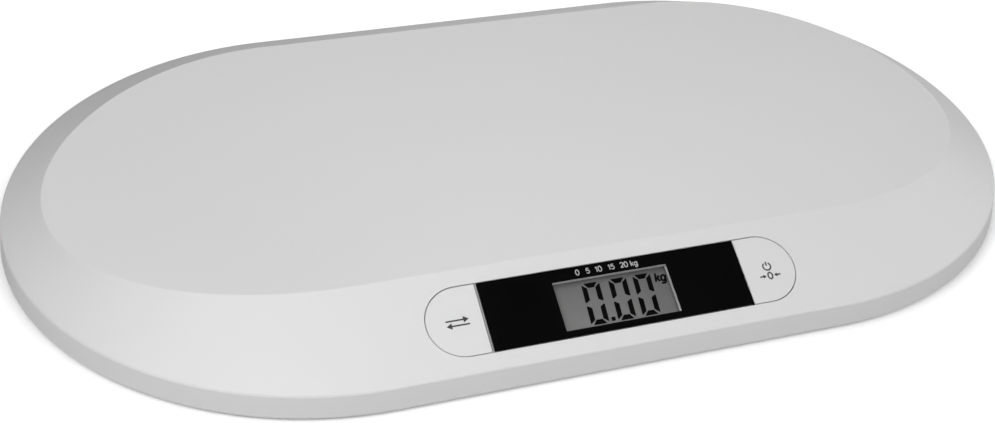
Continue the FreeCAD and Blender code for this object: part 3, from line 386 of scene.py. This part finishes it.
def stroke(points, wide):
    """A band of even width along points, with square ends, as one outline."""
    left, right = [], []
    for i, p in enumerate(points):
        a, b = Vector(points[max(0, i - 1)]), Vector(points[min(len(points) - 1, i + 1)])
        side = Vector((-(b - a).y, (b - a).x)).normalized() * wide / 2
        left.append((p[0] + side.x, p[1] + side.y))
        right.append((p[0] - side.x, p[1] - side.y))
    return left + right[::-1]


def arc_points(centre, wide, tall, start, end, steps=24):
    """Points along an ellipse of half axes wide and tall, from start to end degrees."""
    angles = [math.radians(start + (end - start) * i / steps) for i in range(steps + 1)]
    return [(centre[0] + wide * math.cos(a), centre[1] + tall * math.sin(a)) for a in angles]


def ring(centre, wide, tall):
    """An ellipse as its upper and its lower half."""
    return [arc_points(centre, wide, tall, 0, 180), arc_points(centre, wide, tall, 180, 360)]


# Each figure is a width and the lines that draw it, for a height of 1 above the baseline.
FIGURES = {
    "0": (0.62, ring((0.31, 0.5), 0.31, 0.5)),
    "1": (0.34, [[(0.22, 0.0), (0.22, 1.0)], [(0.22, 0.96), (0.0, 0.76)]]),
    "2": (0.58, [arc_points((0.29, 0.71), 0.28, 0.29, 170, -35) + [(0.0, 0.03)],
                 [(0.0, 0.05), (0.58, 0.05)]]),
    "5": (0.58, [[(0.54, 0.96), (0.08, 0.96)], [(0.1, 1.0), (0.06, 0.48)],
                 arc_points((0.28, 0.33), 0.29, 0.31, 140, -150)]),
    "k": (0.55, [[(0.08, 0.0), (0.08, 1.0)], [(0.1, 0.28), (0.52, 0.68)], [(0.22, 0.42), (0.56, 0.0)]]),
    "g": (0.58, ring((0.27, 0.34), 0.25, 0.32) +
          [[(0.54, 0.68), (0.54, -0.02)] + arc_points((0.28, -0.04), 0.26, 0.24, 0, -150)]),
}


def figure_outlines(text, tall, wide, lean, space):
    """Outlines of a row of figures in mm, from its left end and baseline, with strokes of one width."""
    outlines, left = [], 0.0
    for figure in text:
        across, lines = FIGURES[figure]
        for line in lines:
            points = leaning([(x * tall, v * tall) for x, v in line], lean)
            outlines.append(stroke([(left + x, v) for x, v in points], wide))
        left += across * tall + space
    return outlines


# A lit 0, in mm. Its bars lie across its top and foot, and two posts stand on each side, one above the other.
DIGIT_WIDE, DIGIT_TALL, DIGIT_STROKE, DIGIT_LEAN = 9.2, 21.6, 2.5, 0.053
# How far in from the digit's sides a bar's outer and inner edges start.
BAR_OUTER, BAR_INNER = 1.2, 3.1
# How far below the digit's top a post's outer and inner edges start, and how wide its tip there is.
POST_OUTER, POST_INNER, POST_TIP = 0.85, 2.65, 0.35
# How far above the digit's middle they end, with the corner between them.
WAIST_OUTER, WAIST_CORNER, WAIST_INNER = 1.05, (0.5, 0.8), 2.05


def zero_outlines():
    """The six lit segments of a seven-segment 0, in mm from the digit's foot, leaning right."""
    wide, tall, middle = DIGIT_WIDE, DIGIT_TALL, DIGIT_TALL / 2
    under = tall - DIGIT_STROKE
    bar = [(BAR_OUTER, tall), (wide - BAR_OUTER, tall), (wide - BAR_INNER, under), (BAR_INNER, under)]
    post = [(0, tall - POST_OUTER), (POST_TIP, tall - POST_OUTER), (DIGIT_STROKE, tall - POST_INNER)]
    post += [(DIGIT_STROKE, middle + WAIST_INNER), (WAIST_CORNER[0], middle + WAIST_CORNER[1])]
    post += [(0, middle + WAIST_OUTER)]
    upper = [bar, post, [(wide - x, v) for x, v in post]]
    lower = [[(x, tall - v) for x, v in shape] for shape in upper]
    return [leaning(shape, DIGIT_LEAN) for shape in upper + lower]


BARB_SHARE = 0.62  # half the width of an arrow's head, as a share of its length


def arrow(x0, x1, v, wide, head):
    """An arrow from x0 to x1 as one outline, with a head of that length."""
    neck = x1 - head if x1 > x0 else x1 + head
    half, barb = wide / 2, head * BARB_SHARE
    return [(x0, v - half), (neck, v - half), (neck, v - barb), (x1, v), (neck, v + barb), (neck, v + half),
            (x0, v + half)]


# ---------------------------------------------------------------- printed and displayed marks
def ink(name, colour, rough, shine=0.5):
    """Screen print or display ink: nearly flat, with the thin and thick places that a screen leaves."""
    return moulded(
        name,
        colour,
        rough,
        grain=0.00015,
        relief=0.1,
        depth=0.000005,
        uneven=0.12,
        patch=0.0006,
        Specular_IOR_Level=shine,
    )


SEGMENT_INK = ink("segment_black", 0.001, 0.6, shine=0.08)
LEGEND_INK = ink("legend_grey", 0.035, 0.55)
RANGE_INK = ink("range_white", 0.62, 0.5)


def plate(name, outlines, level, height, body, material):
    """A thin plate of one or more outlines in band coordinates, its underside at level along W."""
    mesh = bpy.data.meshes.new(name)
    bm = bmesh.new()
    for outline in outlines:
        lower = [bm.verts.new(FROM_BAND @ Vector((x, v, level))) for x, v in outline]
        upper = [bm.verts.new(FROM_BAND @ Vector((x, v, level + height))) for x, v in outline]
        bm.faces.new(upper)
        bm.faces.new(reversed(lower))
        for i in range(len(outline)):
            j = (i + 1) % len(outline)
            bm.faces.new((lower[i], lower[j], upper[j], upper[i]))
    bmesh.ops.recalc_face_normals(bm, faces=bm.faces)
    bm.to_mesh(mesh)
    bm.free()
    mesh.materials.append(material)
    made = bpy.data.objects.new(name, mesh)
    scene.collection.objects.link(made)
    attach(made, body)
    return made


# A mark stands off its surface by a hair, so that no two faces share a plane.
CELL_GAP, MASK_GAP, BUTTON_GAP = 0.02 * MM, 0.01 * MM, 0.005 * MM
MARK_HIGH = 0.05 * MM

# The display's marks lie on its cell, and their places are in mm from the middle of the cell.
CELL_TOP = CELL_HI[2] + CELL_GAP
CELL_X, CELL_V = CELL_MID[0] / MM, CELL_MID[1] / MM
DIGIT_LEFTS = {"left": -15.85, "middle": -2.05, "right": 10.45}
DIGIT_FOOT = -11.0
POINT_X, POINT_V, POINT_SIDE, POINT_LEAN = -5.3, -10.5, 2.0, 0.05
UNIT_X, UNIT_V = 22.3, 5.3

for name, left in DIGIT_LEFTS.items():
    outlines = [in_mm(shape, (CELL_X + left, CELL_V + DIGIT_FOOT)) for shape in zero_outlines()]
    digit = plate("display_digit_" + name, outlines, CELL_TOP, MARK_HIGH, "housing", SEGMENT_INK)

square = [(0, 0), (POINT_SIDE, 0), (POINT_SIDE, POINT_SIDE), (0, POINT_SIDE)]
point = in_mm(leaning(square, POINT_LEAN), (CELL_X + POINT_X, CELL_V + POINT_V))
point_mark = plate("display_point", [point], CELL_TOP, MARK_HIGH, "housing", SEGMENT_INK)

unit_strokes = figure_outlines("kg", tall=4.4, wide=1.05, lean=0.16, space=0.6)
unit_outlines = [in_mm(shape, (CELL_X + UNIT_X, CELL_V + UNIT_V)) for shape in unit_strokes]
unit_mark = plate("display_unit", unit_outlines, CELL_TOP, MARK_HIGH, "housing", SEGMENT_INK)

# A plain 0 to 20 range is printed on the black mask, above its window. Its places are in mm from the middle
# of the scale, and from the mask's upper edge down to the baseline.
MASK_TOP = MASK_HI[2] + MASK_GAP
RANGE_DOWN = 4.5
RANGE_LEFTS = {"0": -16.4, "5": -11.0, "10": -6.2, "15": 0.4, "20": 6.6, "kg": 11.8}
range_outlines = []
for text, left in RANGE_LEFTS.items():
    strokes = figure_outlines(text, tall=2.7, wide=0.46, lean=0.0, space=0.45)
    range_outlines += [in_mm(shape, (left, MASK_HI[1] / MM - RANGE_DOWN)) for shape in strokes]
plate("range_print", range_outlines, MASK_TOP, MARK_HIGH, "housing", RANGE_INK)


# ---------------------------------------------------------------- button signs
# The signs' places are in mm: X from the middle of the scale, V from the middle of the buttons and the panel.
BUTTON_TOP = {name: span(name)[1][2] + BUTTON_GAP for name in ("unit_button", "power_button")}
BUTTON_V = (LENS_LO[1] + LENS_HI[1]) / 2 / MM
SIGN_HIGH, SIGN_WIDE = 0.03 * MM, 0.75


def sign(name, outlines, button):
    """Prints outlines on a button's face."""
    raised = [in_mm(outline, (0, BUTTON_V)) for outline in outlines]
    plate(name, raised, BUTTON_TOP[button], SIGN_HIGH, button, LEGEND_INK)


# Two opposed arrows stand for a change of unit.
CHANGE_LEFT, CHANGE_RIGHT, CHANGE_UPPER, CHANGE_LOWER, CHANGE_HEAD = -84.6, -73.4, 0.85, -1.75, 2.6
change = [arrow(CHANGE_LEFT, CHANGE_RIGHT, CHANGE_UPPER, SIGN_WIDE, CHANGE_HEAD)]
change.append(arrow(CHANGE_RIGHT, CHANGE_LEFT, CHANGE_LOWER, SIGN_WIDE, CHANGE_HEAD))
sign("unit_sign", change, "unit_button")

# The power sign is a ring with a bar through its open top, which is this many degrees wide on each side.
POWER, POWER_RADIUS, POWER_OPEN = (79.6, 0.75), 2.0, 35
POWER_BAR_FOOT, POWER_BAR_TOP = 0.4, 2.5
power_arc = arc_points(POWER, POWER_RADIUS, POWER_RADIUS, 90 + POWER_OPEN, 450 - POWER_OPEN)
power = [stroke(power_arc, SIGN_WIDE)]
power.append(stroke([(POWER[0], POWER[1] + v) for v in (POWER_BAR_FOOT, POWER_BAR_TOP)], SIGN_WIDE))
sign("power_sign", power, "power_button")

# A 0 with an arrow pointing at it from each side stands for setting the display to zero.
ZERO, ZERO_HALF_WIDE, ZERO_HALF_TALL = (79.7, -4.3), 1.15, 1.7
ZERO_ARROW_START, ZERO_ARROW_END, ZERO_HEAD = 5.5, 2.0, 1.7
zero = [
    arrow(ZERO[0] + way * ZERO_ARROW_START, ZERO[0] + way * ZERO_ARROW_END, ZERO[1], SIGN_WIDE, ZERO_HEAD)
    for way in (-1, 1)
]
zero += [stroke(half, SIGN_WIDE) for half in ring(ZERO, ZERO_HALF_WIDE, ZERO_HALF_TALL)]
sign("zero_sign", zero, "power_button")


# ---------------------------------------------------------------- floor
# The camera sees a bright floor with a painted soft shadow that darkens it close to the scale's outline, and
# that is white further away. The light that the floor throws up at the scale is less than that.
FLOOR_SEEN, FLOOR_THROWN = 0.98, 0.6
FLOOR_PATCH = 0.98  # the darkest patch's share of the floor's brightness
FLOOR_RADIUS, FLOOR_DROP = 14.0, 0.1 * MM
# By distance from the outline, in metres, its glow rises from low to high, and further out by FAR_GLOW more;
# the weak glow near the outline is a painted shadow.
CONTACT_START, CONTACT_END = -0.002, 0.006
CONTACT_LOW, CONTACT_HIGH = 0.14, 0.3
FAR_START, FAR_END, FAR_GLOW = 0.003, 0.06, 0.6
# The outline's two round ends have this radius, and their centres are this far along X from the middle.
OUTLINE_RADIUS = cad_hi[1]
OUTLINE_CENTRE = cad_hi[0] - cad_hi[1]


def floor_paper():
    """White paper that glows, for the camera only, by its distance from the scale's outline, less near it as a
    painted soft shadow.
    """
    g = Graph("floor_paper")
    seen = g.node("LightPath").outputs["Is Camera Ray"]
    patches = g.noise(0.4, detail=2.0)
    thrown = g.mix(patches, rgba(FLOOR_THROWN, FLOOR_PATCH), rgba(FLOOR_THROWN))
    shown = g.mix(patches, rgba(FLOOR_SEEN, FLOOR_PATCH), rgba(FLOOR_SEEN))
    beyond = g.maths("MAXIMUM", g.maths("SUBTRACT", g.maths("ABSOLUTE", g.axis(0)), OUTLINE_CENTRE), 0.0)
    offset = g.node("CombineXYZ", X=beyond, Y=g.axis(1), Z=0.0).outputs[0]
    reach = g.node("VectorMath", operation="LENGTH", _0=offset).outputs["Value"]
    gap = g.maths("SUBTRACT", reach, OUTLINE_RADIUS)
    # Painted contact shadow: the glow is weakest at the scale's outline and rises away from it.
    contact = g.remap(gap, CONTACT_LOW, CONTACT_HIGH, CONTACT_START, CONTACT_END)
    far = g.remap(gap, 0, FAR_GLOW, FAR_START, FAR_END)
    shader = g.node(
        "BsdfPrincipled",
        Base_Color=g.mix(seen, thrown, shown),
        Roughness=0.9,
        Specular_IOR_Level=0.0,
        Emission_Color=rgba(1.0),
        Emission_Strength=g.maths("MULTIPLY", seen, g.maths("ADD", contact, far)),
    )
    return g.finish(shader)


def floor():
    mesh = bpy.data.meshes.new("floor")
    bm = bmesh.new()
    bmesh.ops.create_circle(bm, cap_ends=True, segments=96, radius=FLOOR_RADIUS)
    bm.to_mesh(mesh)
    bm.free()
    mesh.materials.append(floor_paper())
    made = bpy.data.objects.new("floor", mesh)
    made.location.z = -FLOOR_DROP
    scene.collection.objects.link(made)


# ---------------------------------------------------------------- light and camera
# Each light: azimuth and elevation in degrees, distance and size in metres, power in watts.
LIGHTS = {
    "front_left_close": (-30, 50, 0.65, 0.4, 0.78),
    "left_low": (-60, 35, 0.9, 0.6, 1.75),
    "left_high": (-60, 50, 0.9, 0.6, 1.67),
    "front_right": (30, 35, 0.9, 0.6, 2.34),
    "right_low": (90, 15, 1.6, 1.2, 6.1),
    "back_right_high": (150, 45, 1.6, 1.2, 6.1),
    "back_right_low": (150, 15, 1.6, 1.2, 3.5),
}
CAMERA_AZIMUTH, CAMERA_ELEVATION, CAMERA_ROLL = -20.64, 35.76, 3.68
CAMERA_DISTANCE = 0.8055
CAMERA_TARGET = Vector((-13.57, -5.49, -16.13)) * MM
SENSOR_WIDE, LENS_LENGTH = 36.0, 52.424
CLIP_START, CLIP_END = 0.05, 50.0


def direction(azimuth, elevation):
    """The unit vector towards azimuth, where 0 is in front and 90 is to the right, and elevation."""
    a, e = math.radians(azimuth), math.radians(elevation)
    return Vector((math.sin(a) * math.cos(e), -math.cos(a) * math.cos(e), math.sin(e)))


def area_light(name, azimuth, elevation, distance, size, power):
    """A square soft light facing the scale."""
    data = bpy.data.lights.new(name, "AREA")
    data.shape, data.size, data.energy = "SQUARE", size, power
    made = bpy.data.objects.new(name, data)
    away = direction(azimuth, elevation)
    made.location = away * distance
    made.rotation_mode = "QUATERNION"
    made.rotation_quaternion = away.to_track_quat("Z", "Y")
    scene.collection.objects.link(made)


def backdrop():
    """The world: white where the camera sees it, and no light of its own."""
    world = bpy.data.worlds.new("backdrop")
    world.use_nodes = True
    tree = world.node_tree
    tree.nodes.clear()
    path = tree.nodes.new("ShaderNodeLightPath")
    glow = tree.nodes.new("ShaderNodeBackground")
    output = tree.nodes.new("ShaderNodeOutputWorld")
    glow.inputs["Color"].default_value = rgba(1.0)
    tree.links.new(path.outputs["Is Camera Ray"], glow.inputs["Strength"])
    tree.links.new(glow.outputs[0], output.inputs[0])
    scene.world = world


def camera():
    """Looks down from the front left, rolled a little."""
    roll = math.radians(CAMERA_ROLL)
    back = direction(CAMERA_AZIMUTH, CAMERA_ELEVATION)
    level = Vector((0, 0, 1)).cross(back).normalized()
    up = back.cross(level)
    right = level * math.cos(roll) + up * math.sin(roll)
    top = up * math.cos(roll) - level * math.sin(roll)
    data = bpy.data.cameras.new("camera")
    data.sensor_width, data.lens = SENSOR_WIDE, LENS_LENGTH
    data.clip_start, data.clip_end = CLIP_START, CLIP_END
    made = bpy.data.objects.new("camera", data)
    turn = Matrix((right, top, back)).transposed().to_4x4()
    made.matrix_world = Matrix.Translation(CAMERA_TARGET + back * CAMERA_DISTANCE) @ turn
    scene.collection.objects.link(made)
    scene.camera = made


floor()
for name, settings in LIGHTS.items():
    area_light(name, *settings)
backdrop()
camera()
